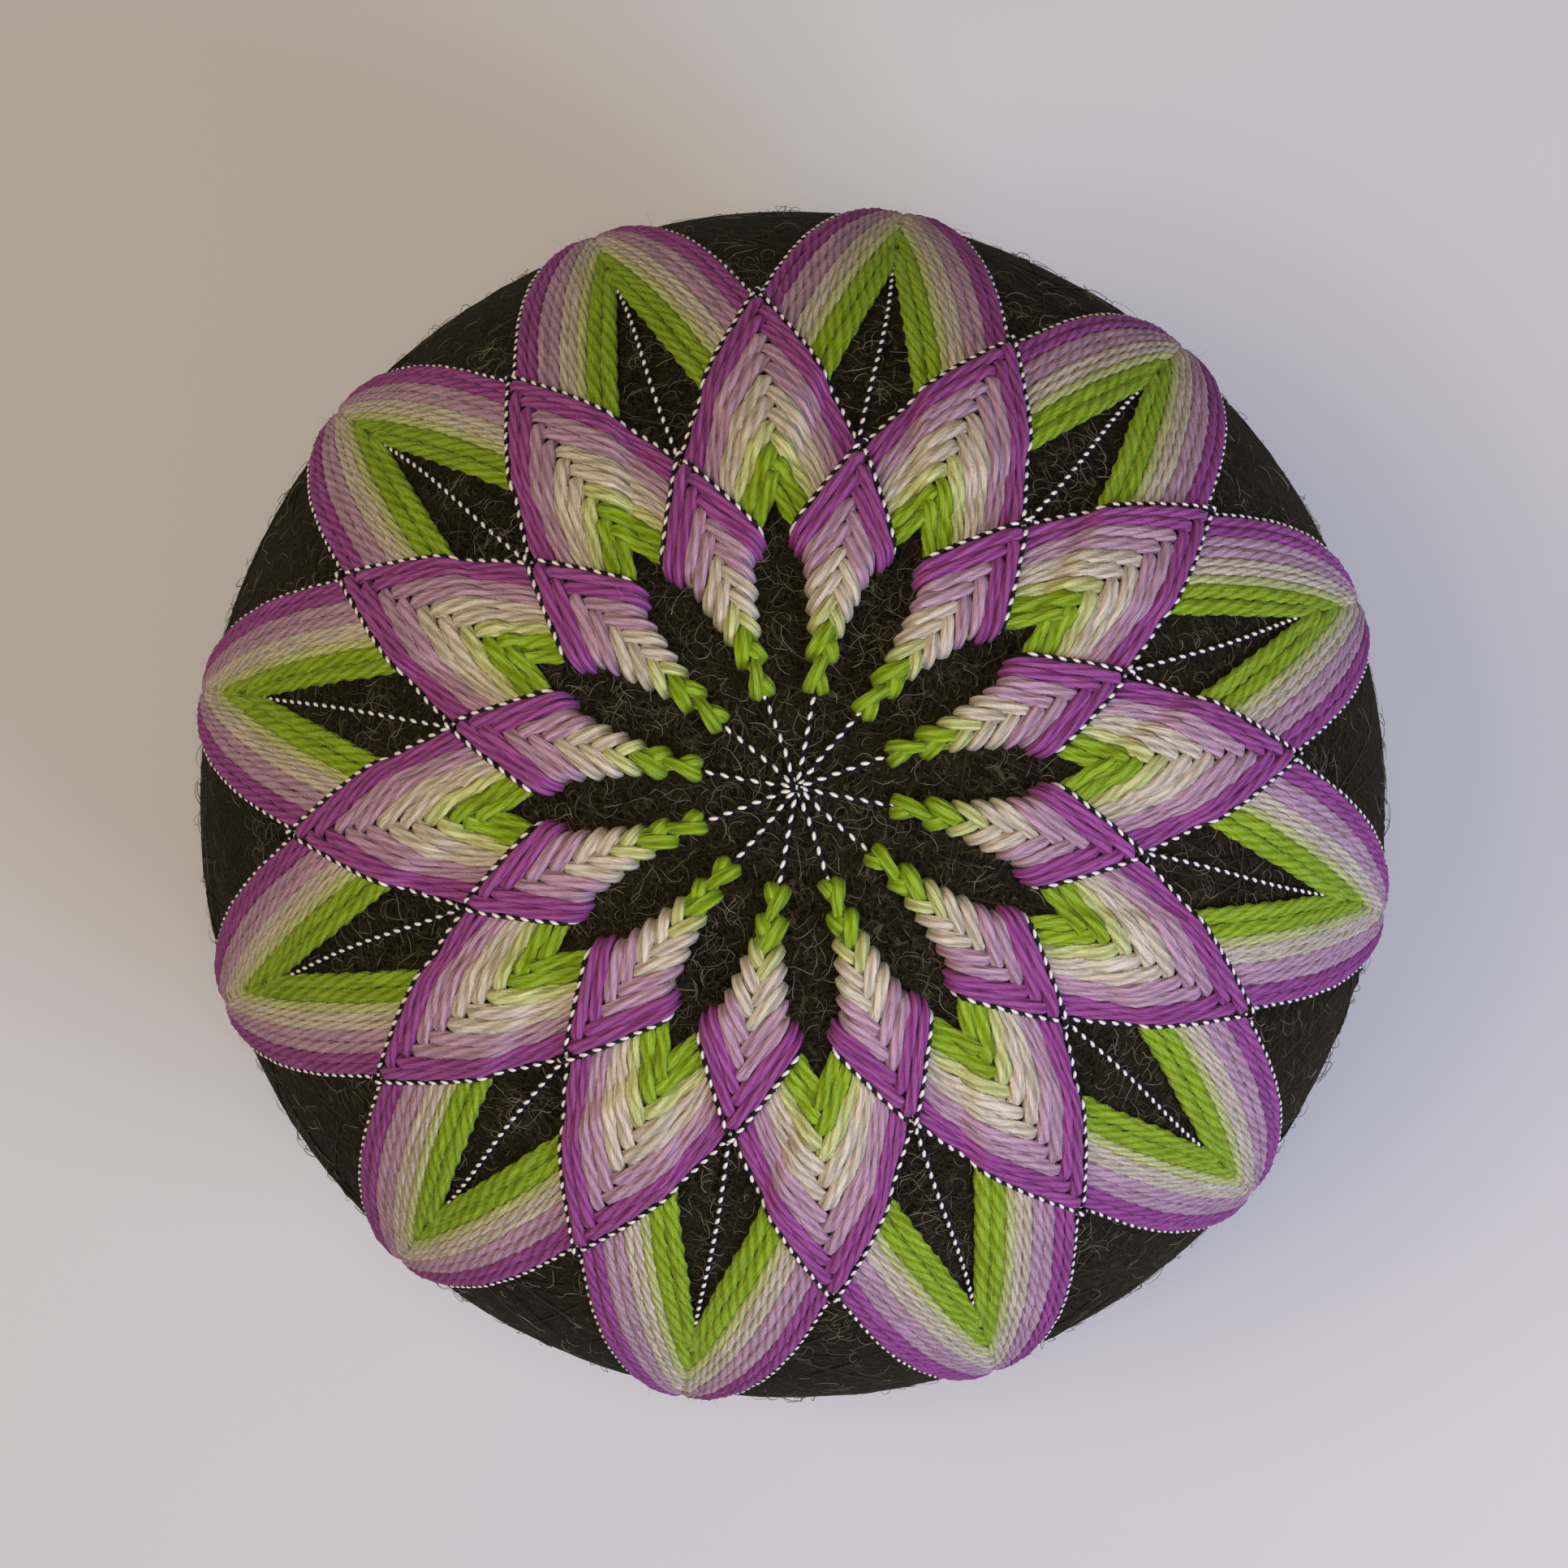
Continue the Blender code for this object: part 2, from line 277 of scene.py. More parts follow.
def tube_rings(points, sideways, outward, half_width, half_height, angles, profile):
    """Rings of corners round each point of several paths. Corner k of a ring lies at
    cos(angle) * profile * half_width sideways and sin(angle) * profile * half_height outward."""
    across = np.cos(angles) * profile * half_width[..., None]
    up = np.sin(angles) * profile * half_height[..., None]
    return (
        points[..., None, :]
        + across[..., None] * sideways[..., None, :]
        + up[..., None] * outward[..., None, :]
    )


def tube_faces(paths, count, sides):
    """Triangles that skin the rings of several paths and close both ends with a fan to a middle corner. The
    corners of one path are its rings in order, then its first and its last middle."""
    ring = np.arange(count - 1)[:, None] * sides
    corner = np.arange(sides)[None]
    following = (corner + 1) % sides
    a = ring + corner
    b = ring + sides + corner
    c = ring + sides + following
    d = ring + following
    walls = np.stack([a, b, c, a, c, d], axis=-1).reshape(-1, 3)
    middle = count * sides
    last = (count - 1) * sides
    corner, following = corner[0], following[0]
    start = np.stack([np.full(sides, middle), corner, following], axis=-1)
    end = np.stack([np.full(sides, middle + 1), last + following, last + corner], axis=-1)
    one = np.concatenate([walls, start, end])
    offsets = np.arange(paths)[:, None, None] * (count * sides + 2)
    return (one[None] + offsets).reshape(-1, 3)


def with_middles(rings):
    """The corners of each path with its two end middles, in the order that tube_faces expects."""
    paths = rings.shape[0]
    first = rings[:, :1].mean(axis=2)
    last = rings[:, -1:].mean(axis=2)
    body = rings.reshape(paths, -1, rings.shape[-1])
    return np.concatenate([body, first, last], axis=1).reshape(-1, rings.shape[-1])


class Skin:
    """Collects corners, triangles, their finish numbers and per-corner values, for one object."""

    def __init__(self):
        self.corners = []
        self.faces = []
        self.finishes = []
        self.values = {}
        self.count = 0

    def add_tubes(self, rings, finish=0, **values):
        paths, count, sides = rings.shape[:3]
        corners = with_middles(rings)
        faces = tube_faces(paths, count, sides) + self.count
        self.corners.append(corners)
        self.faces.append(faces)
        self.finishes.append(np.full(len(faces), finish))
        for name, value in values.items():
            value = np.broadcast_to(value, rings.shape[:3] + value.shape[3:])
            if value.ndim == 3:
                value = value[..., None]
            self.values.setdefault(name, []).append(with_middles(value))
        self.count += len(corners)

    def build(self, name, finishes):
        corners = np.concatenate(self.corners)
        corners[:, 2] = np.maximum(corners[:, 2], 0.0)
        values = {key: np.concatenate(value) for key, value in self.values.items()}
        faces = np.concatenate(self.faces)
        return add_mesh(name, corners, faces, finishes, np.concatenate(self.finishes), values)


def add_mesh(name, corners, faces, finishes, finish_of_face, values):
    """A smooth object at the part's origin from arrays, with per-corner values as attributes."""
    mesh = bpy.data.meshes.new(name)
    mesh.vertices.add(len(corners))
    mesh.vertices.foreach_set("co", corners.astype(np.float32).ravel())
    mesh.loops.add(len(faces) * 3)
    mesh.loops.foreach_set("vertex_index", faces.astype(np.int32).ravel())
    mesh.polygons.add(len(faces))
    mesh.polygons.foreach_set("loop_start", np.arange(0, len(faces) * 3, 3, dtype=np.int32))
    for finish in finishes:
        mesh.materials.append(finish)
    mesh.polygons.foreach_set("material_index", finish_of_face.astype(np.int32))
    mesh.update(calc_edges=True)
    mesh.validate()
    mesh.shade_smooth()
    for key, value in values.items():
        kind, field = ("FLOAT", "value") if value.shape[-1] == 1 else ("FLOAT_VECTOR", "vector")
        layer = mesh.attributes.new(key, kind, "POINT")
        layer.data.foreach_set(field, value.astype(np.float32).ravel())
    obj = bpy.data.objects.new(name, mesh)
    bpy.context.scene.collection.objects.link(obj)
    return obj


def add_node(tree, kind, inputs=(), **settings):
    """One shader node. Each input is (socket, value): the value is a constant or another node's output."""
    node = tree.nodes.new(kind)
    for key, value in settings.items():
        setattr(node, key, value)
    for socket, value in inputs:
        if isinstance(value, bpy.types.NodeSocket):
            tree.links.new(value, node.inputs[socket])
        else:
            node.inputs[socket].default_value = value
    return node


def new_finish(name):
    finish = bpy.data.materials.new(name)
    finish.use_nodes = True
    return finish, finish.node_tree, finish.node_tree.nodes["Principled BSDF"]


def brighter(colour, times, greyer=0.0):
    """The colour some times as bright and part of the way from there to its grey: painted light, for thin
    fibres that light gets through."""
    grey = sum(colour) / len(colour)
    return [min((channel + (grey - channel) * greyer) * times, 1.0) for channel in colour]


def thread_place(tree, stretch):
    """The place on a thread, in millimetres along and across it, stretched for a streaky noise. Each thread's
    own chance number moves it to another part of the noise."""
    place = add_node(tree, "ShaderNodeAttribute", attribute_name="lie").outputs["Vector"]
    chance = add_node(tree, "ShaderNodeAttribute", attribute_name="chance").outputs["Fac"]
    moved = add_node(tree, "ShaderNodeCombineXYZ", [("X", chance), ("Y", chance)]).outputs[0]
    far = add_node(tree, "ShaderNodeVectorMath", [(0, moved), (1, (37.0, 11.0, 0.0))], operation="MULTIPLY")
    scaled = add_node(tree, "ShaderNodeVectorMath", [(0, place), (1, stretch)], operation="MULTIPLY")
    parts = [(0, scaled.outputs[0]), (1, far.outputs[0])]
    return add_node(tree, "ShaderNodeVectorMath", parts, operation="ADD").outputs[0], chance


def cotton_finish(name, colour):
    """Soft four-ply cotton: matt, with a faint sheen of loose fibre that lightens the rims, painted shade
    that makes the grooves between the plies darker and richer, and streaked lengthwise where the fibres lie."""
    if name in bpy.data.materials:
        return bpy.data.materials[name]
    finish, tree, shader = new_finish(name)
    fine, chance = thread_place(tree, (0.4, 8.0, 8.0))
    broad, _ = thread_place(tree, (0.45, 1.4, 1.4))
    streak = add_node(
        tree, "ShaderNodeTexNoise", [("Vector", fine), ("Scale", 1.0), ("Detail", 3.0), ("Roughness", 0.6)]
    ).outputs["Fac"]
    lump = add_node(
        tree, "ShaderNodeTexNoise", [("Vector", broad), ("Scale", 1.0), ("Detail", 2.0)]
    ).outputs["Fac"]
    # Where the lumps swell, loose fibre bridges the groove and hides it.
    ply = add_node(tree, "ShaderNodeAttribute", attribute_name="ply").outputs["Fac"]
    bridged = add_node(
        tree, "ShaderNodeMath", [(0, lump), (1, 2.4), (2, ply)], operation="MULTIPLY_ADD"
    ).outputs[0]
    crest = add_node(
        tree,
        "ShaderNodeMapRange",
        [("Value", bridged), ("From Min", 0.1), ("From Max", 1.5), ("To Min", 0.0), ("To Max", 1.0)],
        interpolation_type="SMOOTHSTEP",
    ).outputs["Result"]
    # Painted shade: the grooves between the plies are drawn darker, down to 0.62 of the colour, and richer in
    # colour.
    groove_painted_shade = add_node(
        tree, "ShaderNodeMapRange", [("Value", crest), ("To Min", 0.62), ("To Max", 1.0)]
    ).outputs["Result"]
    painted_shade_richness = add_node(
        tree, "ShaderNodeMapRange", [("Value", crest), ("To Min", 1.15), ("To Max", 1.0)]
    ).outputs["Result"]
    streak_level = add_node(
        tree,
        "ShaderNodeMapRange",
        [("Value", streak), ("From Min", 0.32), ("From Max", 0.64), ("To Min", 0.66), ("To Max", 1.15)],
    ).outputs["Result"]
    own_level = add_node(
        tree, "ShaderNodeMapRange", [("Value", chance), ("To Min", 0.95), ("To Max", 1.05)]
    ).outputs["Result"]
    level = add_node(
        tree, "ShaderNodeMath", [(0, streak_level), (1, groove_painted_shade)], operation="MULTIPLY"
    ).outputs[0]
    level = add_node(tree, "ShaderNodeMath", [(0, level), (1, own_level)], operation="MULTIPLY").outputs[0]
    shaded = add_node(
        tree,
        "ShaderNodeHueSaturation",
        [("Color", (*colour, 1.0)), ("Saturation", painted_shade_richness), ("Value", level)],
    ).outputs["Color"]
    height = add_node(tree, "ShaderNodeMath", [(0, crest), (1, 0.35)], operation="MULTIPLY").outputs[0]
    height = add_node(
        tree, "ShaderNodeMath", [(0, streak), (1, 0.7), (2, height)], operation="MULTIPLY_ADD"
    ).outputs[0]
    bump = add_node(
        tree, "ShaderNodeBump", [("Height", height), ("Distance", 0.00026), ("Strength", 1.0)]
    ).outputs["Normal"]
    tree.links.new(shaded, shader.inputs["Base Color"])
    tree.links.new(bump, shader.inputs["Normal"])
    shader.inputs["Roughness"].default_value = 0.82
    shader.inputs["Specular IOR Level"].default_value = 0.25
    shader.inputs["Sheen Weight"].default_value = 0.25
    shader.inputs["Sheen Roughness"].default_value = 0.45
    shader.inputs["Sheen Tint"].default_value = (*colour, 1.0)
    return finish


def ply_finish(name, colour):
    """One ply of the fine thread: tight and smooth, so it keeps a small soft highlight."""
    finish, tree, shader = new_finish(name)
    fine, _ = thread_place(tree, (2.0, 18.0, 18.0))
    streak = add_node(
        tree, "ShaderNodeTexNoise", [("Vector", fine), ("Scale", 1.0), ("Detail", 2.0)]
    ).outputs["Fac"]
    level = add_node(
        tree,
        "ShaderNodeMapRange",
        [("Value", streak), ("From Min", 0.3), ("From Max", 0.7), ("To Min", 0.85), ("To Max", 1.08)],
    ).outputs["Result"]
    shaded = add_node(
        tree, "ShaderNodeHueSaturation", [("Color", (*colour, 1.0)), ("Value", level)]
    ).outputs["Color"]
    bump = add_node(
        tree, "ShaderNodeBump", [("Height", streak), ("Distance", 0.00004), ("Strength", 0.6)]
    ).outputs["Normal"]
    tree.links.new(shaded, shader.inputs["Base Color"])
    tree.links.new(bump, shader.inputs["Normal"])
    shader.inputs["Roughness"].default_value = 0.6
    shader.inputs["Specular IOR Level"].default_value = 0.25
    shader.inputs["Sheen Weight"].default_value = 0.03
    return finish


def wool_finish(name, colour, sheen):
    """Plain dyed wool for strands and loose fibres: matt, with sheen where the light grazes it."""
    finish, tree, shader = new_finish(name)
    fine, chance = thread_place(tree, (1.2, 12.0, 12.0))
    streak = add_node(
        tree, "ShaderNodeTexNoise", [("Vector", fine), ("Scale", 1.0), ("Detail", 2.0)]
    ).outputs["Fac"]
    streak_level = add_node(
        tree,
        "ShaderNodeMapRange",
        [("Value", streak), ("From Min", 0.3), ("From Max", 0.7), ("To Min", 0.7), ("To Max", 1.3)],
    ).outputs["Result"]
    own_level = add_node(
        tree, "ShaderNodeMapRange", [("Value", chance), ("To Min", 0.35), ("To Max", 1.7)]
    ).outputs["Result"]
    level = add_node(
        tree, "ShaderNodeMath", [(0, streak_level), (1, own_level)], operation="MULTIPLY"
    ).outputs[0]
    shaded = add_node(
        tree, "ShaderNodeHueSaturation", [("Color", (*colour, 1.0)), ("Value", level)]
    ).outputs["Color"]
    tree.links.new(shaded, shader.inputs["Base Color"])
    shader.inputs["Roughness"].default_value = 0.9
    shader.inputs["Specular IOR Level"].default_value = 0.2
    shader.inputs["Sheen Weight"].default_value = sheen
    shader.inputs["Sheen Tint"].default_value = (*colour, 1.0)
    return finish


def winding_finish(colour):
    """The wound ball: dark brown wool whose fine threads cross in every direction, under a mat of its own
    curly fibres. Painted light and shade: the raised threads and fibres are drawn lighter and greyer, up to
    7.8 times the wool's colour, as light gets through them and falls on their tops, and the hollows between
    them darker, down to a quarter of it. Each layer of winding is a set of parallel threads, 0.42 mm apart:
    they are the stripes of a sine across the ball along one axis, and show in patches. Each layer of fibres
    is the contour lines of a noise. Both are drawn coarser than the real ones, which are too fine to show."""
    finish, tree, shader = new_finish("wound wool")
    place = add_node(tree, "ShaderNodeTexCoord").outputs["Object"]
    rough = add_node(
        tree,
        "ShaderNodeTexNoise",
        [("Vector", place), ("Scale", 2600.0), ("Detail", 3.0), ("Roughness", 0.65)],
    ).outputs["Fac"]
    rng = np.random.default_rng(11)
    thread_step = 0.00042
    height = add_node(tree, "ShaderNodeMath", [(0, rough), (1, 0.3)], operation="MULTIPLY").outputs[0]
    for layer in range(7):
        axis = unit(rng.normal(size=3))
        across = add_node(
            tree, "ShaderNodeVectorMath", [(0, place), (1, tuple(axis))], operation="DOT_PRODUCT"
        ).outputs["Value"]
        wobble = add_node(
            tree, "ShaderNodeTexNoise", [("Vector", place), ("Scale", 160.0 + 20 * layer), ("Detail", 1.0)]
        ).outputs["Fac"]
        bent = add_node(
            tree, "ShaderNodeMath", [(0, wobble), (1, 0.0009), (2, across)], operation="MULTIPLY_ADD"
        ).outputs[0]
        turns = add_node(
            tree, "ShaderNodeMath", [(0, bent), (1, FULL_TURN / thread_step)], operation="MULTIPLY"
        ).outputs[0]
        ridge = add_node(tree, "ShaderNodeMath", [(0, turns)], operation="SINE").outputs[0]
        patch = add_node(
            tree,
            "ShaderNodeTexNoise",
            [("Vector", place), ("Scale", 210.0 - 15 * layer), ("Detail", 2.0), ("Distortion", 1.5)],
        ).outputs["Fac"]
        shown = add_node(
            tree,
            "ShaderNodeMapRange",
            [("Value", patch), ("From Min", 0.5), ("From Max", 0.58), ("To Min", 0.0), ("To Max", 1.0)],
            interpolation_type="SMOOTHSTEP",
        ).outputs["Result"]
        lifted = add_node(
            tree,
            "ShaderNodeMapRange",
            [("Value", ridge), ("From Min", -0.8), ("From Max", 1.0), ("To Min", 0.0), ("To Max", 0.5)],
        ).outputs["Result"]
        masked = add_node(tree, "ShaderNodeMath", [(0, lifted), (1, shown)], operation="MULTIPLY").outputs[0]
        height = add_node(tree, "ShaderNodeMath", [(0, height), (1, masked)], operation="MAXIMUM").outputs[0]
    for layer in range(6):
        moved = add_node(
            tree, "ShaderNodeVectorMath", [(0, place), (1, tuple(rng.uniform(0, 1, 3)))], operation="ADD"
        ).outputs["Vector"]
        field = add_node(
            tree,
            "ShaderNodeTexNoise",
            [("Vector", moved), ("Scale", 330.0 + 70 * layer), ("Detail", 1.2), ("Distortion", 0.8)],
        ).outputs["Fac"]
        turns = add_node(
            tree, "ShaderNodeMath", [(0, field), (1, FULL_TURN * 7)], operation="MULTIPLY"
        ).outputs[0]
        ridge = add_node(tree, "ShaderNodeMath", [(0, turns)], operation="SINE").outputs[0]
        fibre = add_node(
            tree,
            "ShaderNodeMapRange",
            [("Value", ridge), ("From Min", 0.87), ("From Max", 1.0), ("To Max", 0.6 + 0.08 * layer)],
        ).outputs["Result"]
        height = add_node(tree, "ShaderNodeMath", [(0, height), (1, fibre)], operation="MAXIMUM").outputs[0]
    # Painted light and shade: the higher the bump, the lighter and greyer the colour; the hollows are
    # darkest.
    sharper = add_node(tree, "ShaderNodeMath", [(0, height), (1, 2.1)], operation="POWER").outputs[0]
    level = add_node(
        tree,
        "ShaderNodeMapRange",
        [("Value", sharper), ("From Min", 0.0), ("From Max", 1.0), ("To Min", 0.25), ("To Max", 7.8)],
    ).outputs["Result"]
    greyer = add_node(
        tree, "ShaderNodeMapRange", [("Value", sharper), ("To Min", 1.15), ("To Max", 0.75)]
    ).outputs["Result"]
    shaded = add_node(
        tree, "ShaderNodeHueSaturation", [("Color", (*colour, 1.0)), ("Saturation", greyer), ("Value", level)]
    ).outputs["Color"]
    bump = add_node(
        tree, "ShaderNodeBump", [("Height", height), ("Distance", 0.0003), ("Strength", 1.0)]
    ).outputs["Normal"]
    tree.links.new(shaded, shader.inputs["Base Color"])
    tree.links.new(bump, shader.inputs["Normal"])
    shader.inputs["Roughness"].default_value = 0.95
    shader.inputs["Specular IOR Level"].default_value = 0.1
    shader.inputs["Sheen Weight"].default_value = 0.07
    shader.inputs["Sheen Tint"].default_value = linear("8A7C5A")
    return finish


def stitched_course(star, row, settings, rng, step, fine_step, heights, spread):
    """The paths of the six V's of one row: (points, sideways, outward, millimetres along, half of the room
    between its neighbours, how far other threads press it down, from 0 to 1).

    An arm lies on the ball, climbs over the earlier rows of the arm that it crosses in the mid petal, drops,
    and does the same in the leaf. The first star's rows lie over the rows with smaller numbers, the second
    star's over those with equal numbers too. In a leaf, the arm that leaves lies over the one that arrives.

    Each V's point is drawn out along the V's line, as a bell curve of the angle from it, so that it fills the
    corner of the next row. Where the arm lies under others in a leaf, they press it down and narrow it. Both
    ends dive into the ball along a quarter circle.
    """
    drawn_out, point_width = 0.37, 0.62
    ramp = 1.25
    sunk = -0.42
    reach = end_angle(row)
    phis = np.linspace(-reach, reach, 2401)
    bend = math.degrees(settings.tip_bend)
    track = direction(row_theta(row, np.hypot(phis, bend)), phis)
    walked = np.concatenate([[0], np.cumsum(np.linalg.norm(np.diff(track, axis=0), axis=1))])
    walked = walked * BALL_RADIUS / MM
    length = walked[-1]
    along = stations(length, step, fine_step, (0.0, length / 2, length), 1.6)
    phi = np.interp(along, walked, phis)
    six = LINES // 2
    sway = 0.6 * waves(rng, six, along, (7.0, 11.3, 4.1))
    rows = row + spread * (sway + 0.5 * rng.normal(0, 0.5, (six, 1)))
    away = np.hypot(phi, bend)
    room_at_tip = row_theta(rows + 0.5, 0.0) - row_theta(rows - 0.5, 0.0)
    theta = row_theta(rows, away) + drawn_out * room_at_tip * np.exp(-((phi / point_width) ** 2))
    mid_row = row_at(theta, np.abs(2 * MID_AXIS - np.abs(phi)))
    leaf_row = row_at(theta, np.minimum(2 * LEAF_AXIS - np.abs(phi), 50.0))
    mid_rise = row + (0.5 if star else -0.5)
    leaf_rise = row - 0.5 * np.sign(phi)
    over_mid = smooth((mid_rise - mid_row) / ramp + 0.5) * smooth((mid_row - INNERMOST) / ramp + 0.5)
    over_leaf = smooth((leaf_rise - leaf_row) / ramp + 0.5)
    pressed = smooth((leaf_row - leaf_rise) / ramp) * smooth((OUTERMOST + 0.1 - leaf_row) / ramp + 0.5)
    low, high = heights
    lift = low + (high - low) * np.maximum(over_mid, over_leaf)
    lift = lift + 0.035 * waves(rng, six, along, (2.9, 5.3)) - 0.12 * pressed
    to_end = np.minimum(along, length - along)
    dive = np.sqrt(1 - (1 - np.clip(to_end * MM / settings.dive_length, 0, 1)) ** 2)
    lift = sunk + (lift - sunk) * dive
    tip = np.exp(-(((along - length / 2) / 0.8) ** 2))
    lift = lift - 0.1 * tip
    radians = np.radians(row_theta(rows + 0.5, away) - row_theta(rows - 0.5, away))
    slope = (row_theta(rows, away + 0.3) - row_theta(rows, away - 0.3)) / 0.6
    room = BALL_RADIUS / MM * radians / np.sqrt(1 + (slope / np.sin(np.radians(theta))) ** 2) / 2
    lines = (2 * np.arange(six)[:, None] + star) * LINE_STEP
    outs = direction(theta, phi + lines)
    points = BALL_CENTRE + outs * (BALL_RADIUS + lift[..., None] * MM)
    sideways, outward = frames(outs, points)
    return points, sideways, outward, np.broadcast_to(along, theta.shape), room, pressed


def cotton_rings(points, sideways, outward, along, room, pressed, settings, rng):
    """Rings of four-ply yarn with their values: an eight-cornered ring whose corners are crest and groove in
    turn, and which turns as it goes along. The plies slope to the left as the thread goes up. They lie longer
    near the ball's pole, where the thread is pulled tight, and the thread is thickest round the V's point."""
    sides = 8
    paths = along.shape[0]
    corner = corners_round(sides)
    ply = np.cos(4 * corner)
    profile = 1 - settings.groove_depth * (1 - ply) / 2
    half = along[:, -1:] / 2
    pitch = settings.twist_pitch / MM * (1 + 0.75 * smooth(np.abs(along - half) / half * 1.7 - 0.7))
    pitch = pitch * (1 + 0.12 * waves(rng, paths, along[0], (9.0, 14.0)))
    turns = np.cumsum(np.diff(along, axis=1, prepend=0.0) / pitch, axis=1)
    turn = FULL_TURN * (turns + rng.uniform(0, 1, (paths, 1)))
    angles = corner[None, None] + turn[..., None]
    swell = 1 + 0.05 * waves(rng, paths, along[0], (3.1, 6.7))
    to_end = np.minimum(along, along[:, -1:] - along)
    taper = 0.84 + 0.16 * smooth(to_end / 1.2)
    swell = swell * (1 + 0.5 * np.exp(-(((along - half) / 1.0) ** 2))) * (1 - 0.4 * pressed)
    half_width = np.clip(room * 1.3, 0.35, 0.56) * swell * taper
    half_height = np.clip(0.135 / half_width, 0.27, 0.35) * taper
    rings = tube_rings(points, sideways, outward, half_width * MM, half_height * MM, angles, profile)
    chance = rng.uniform(0, 1, (paths, 1, 1))
    return rings, {"lie": lie_on_thread(along, angles, 0.38), "ply": ply, "chance": chance}


def add_fuzz(skin, rings, count, rng):
    """Short hairs of a cotton thread. Each starts at a corner of the rings on the side away from the ball.
    After the share t of its length it has gone 0.7 t along the thread, 0.35 t away from it and 0.4 t^2 in a
    direction of its own."""
    paths, steps, sides = rings.shape[:3]
    path = rng.integers(0, paths, count * 5)
    station = rng.integers(3, steps - 3, count * 5)
    side = rng.integers(0, sides, count * 5)
    root = rings[path, station, side]
    away = unit(root - rings[path, station].mean(axis=1))
    shown = np.flatnonzero((away * unit(root - BALL_CENTRE)).sum(axis=1) > 0.15)[:count]
    path, station, side, root, away = path[shown], station[shown], side[shown], root[shown], away[shown]
    run = unit(rings[path, station + 1, side] - root) * rng.choice([-1, 1], (len(shown), 1))
    share = np.linspace(0, 1, 4)[None, :, None]
    length = rng.uniform(0.35, 1.3, (len(shown), 1, 1))
    own = rng.normal(0, 1, (len(shown), 1, 3))
    bend = share * (0.7 * run + 0.35 * away)[:, None] + 0.4 * share**2 * own
    points = root[:, None] + length * MM * bend
    sideways, outward = frames(unit(points - BALL_CENTRE), points)
    angles = np.broadcast_to(corners_round(3), (len(shown), 4, 3))
    radius = rng.uniform(0.007, 0.013, (len(shown), 1)) * MM * (1 - 0.5 * share[..., 0])
    hairs = tube_rings(points, sideways, outward, radius, radius, angles, 1.0)
    lie = lie_on_thread((length * share)[..., 0], angles, 0.0)
    skin.add_tubes(hairs, lie=lie, ply=np.ones((1, 1, 1)), chance=rng.uniform(0, 1, (len(shown), 1, 1)))


def add_fine_thread(skin, points, sideways, outward, along, pitch, rng):
    """Fine cord of two dark plies wound round one another, and a light one between them that swells where it
    comes to the top, so that it shows as a row of lozenges. The turn slopes to the right as the cord goes up.

    With s the sine of the turn, the light ply's middle lies 0.09 + 0.07 s outward and 0.035 cos(turn)
    sideways, and its half width is 0.038 + 0.078 S((s + 0.65) / 1.2), in millimetres, where S is smooth().
    """
    paths = along.shape[0]
    phase = rng.uniform(0, FULL_TURN, (paths, 1))
    turn = phase - along * (FULL_TURN / (pitch / MM))
    chance = rng.uniform(0, 1, (paths, 1, 1))

    def add_ply(middle_side, middle_out, half_width, half_height, sides, spin, finish):
        centre = points + (middle_side[..., None] * sideways + middle_out[..., None] * outward) * MM
        angles = corners_round(sides) + spin[..., None]
        rings = tube_rings(centre, sideways, outward, half_width * MM, half_height * MM, angles, 1.0)
        skin.add_tubes(rings, finish=finish, lie=lie_on_thread(along, angles, 0.1), chance=chance)

    for ply in (1, 2):
        around = turn + FULL_TURN * ply / 3
        full = np.full(along.shape, 0.125)
        add_ply(0.07 * np.cos(around), 0.07 * np.sin(around), full, full, 3, around, 0)
    risen = np.sin(turn)
    half_width = 0.038 + 0.078 * smooth((risen + 0.65) / 1.2)
    add_ply(0.035 * np.cos(turn), 0.09 + 0.07 * risen, half_width, 0.75 * half_width, 4, 0 * turn, 1)


def fine_finishes(settings):
    """The dark and the light ply. The light one is warm ivory, so its dashes glint against the dark."""
    pairs = (("dark fine thread", settings.dark_colour), ("ivory fine thread", settings.ivory_colour))
    return [bpy.data.materials.get(name) or ply_finish(name, colour) for name, colour in pairs]


def settled(piece, slot, *nodes):
    """Ties a finished piece to the ball and hides the parts that it replaces. The slot it is given is not
    used.
    """
    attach(piece, "root")
    if nodes:
        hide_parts(*nodes)


def colour_choice(name, description, default):
    return FloatVectorProperty(
        name=name, description=description, default=linear(default)[:3], subtype="COLOR", min=0.0, max=1.0
    )


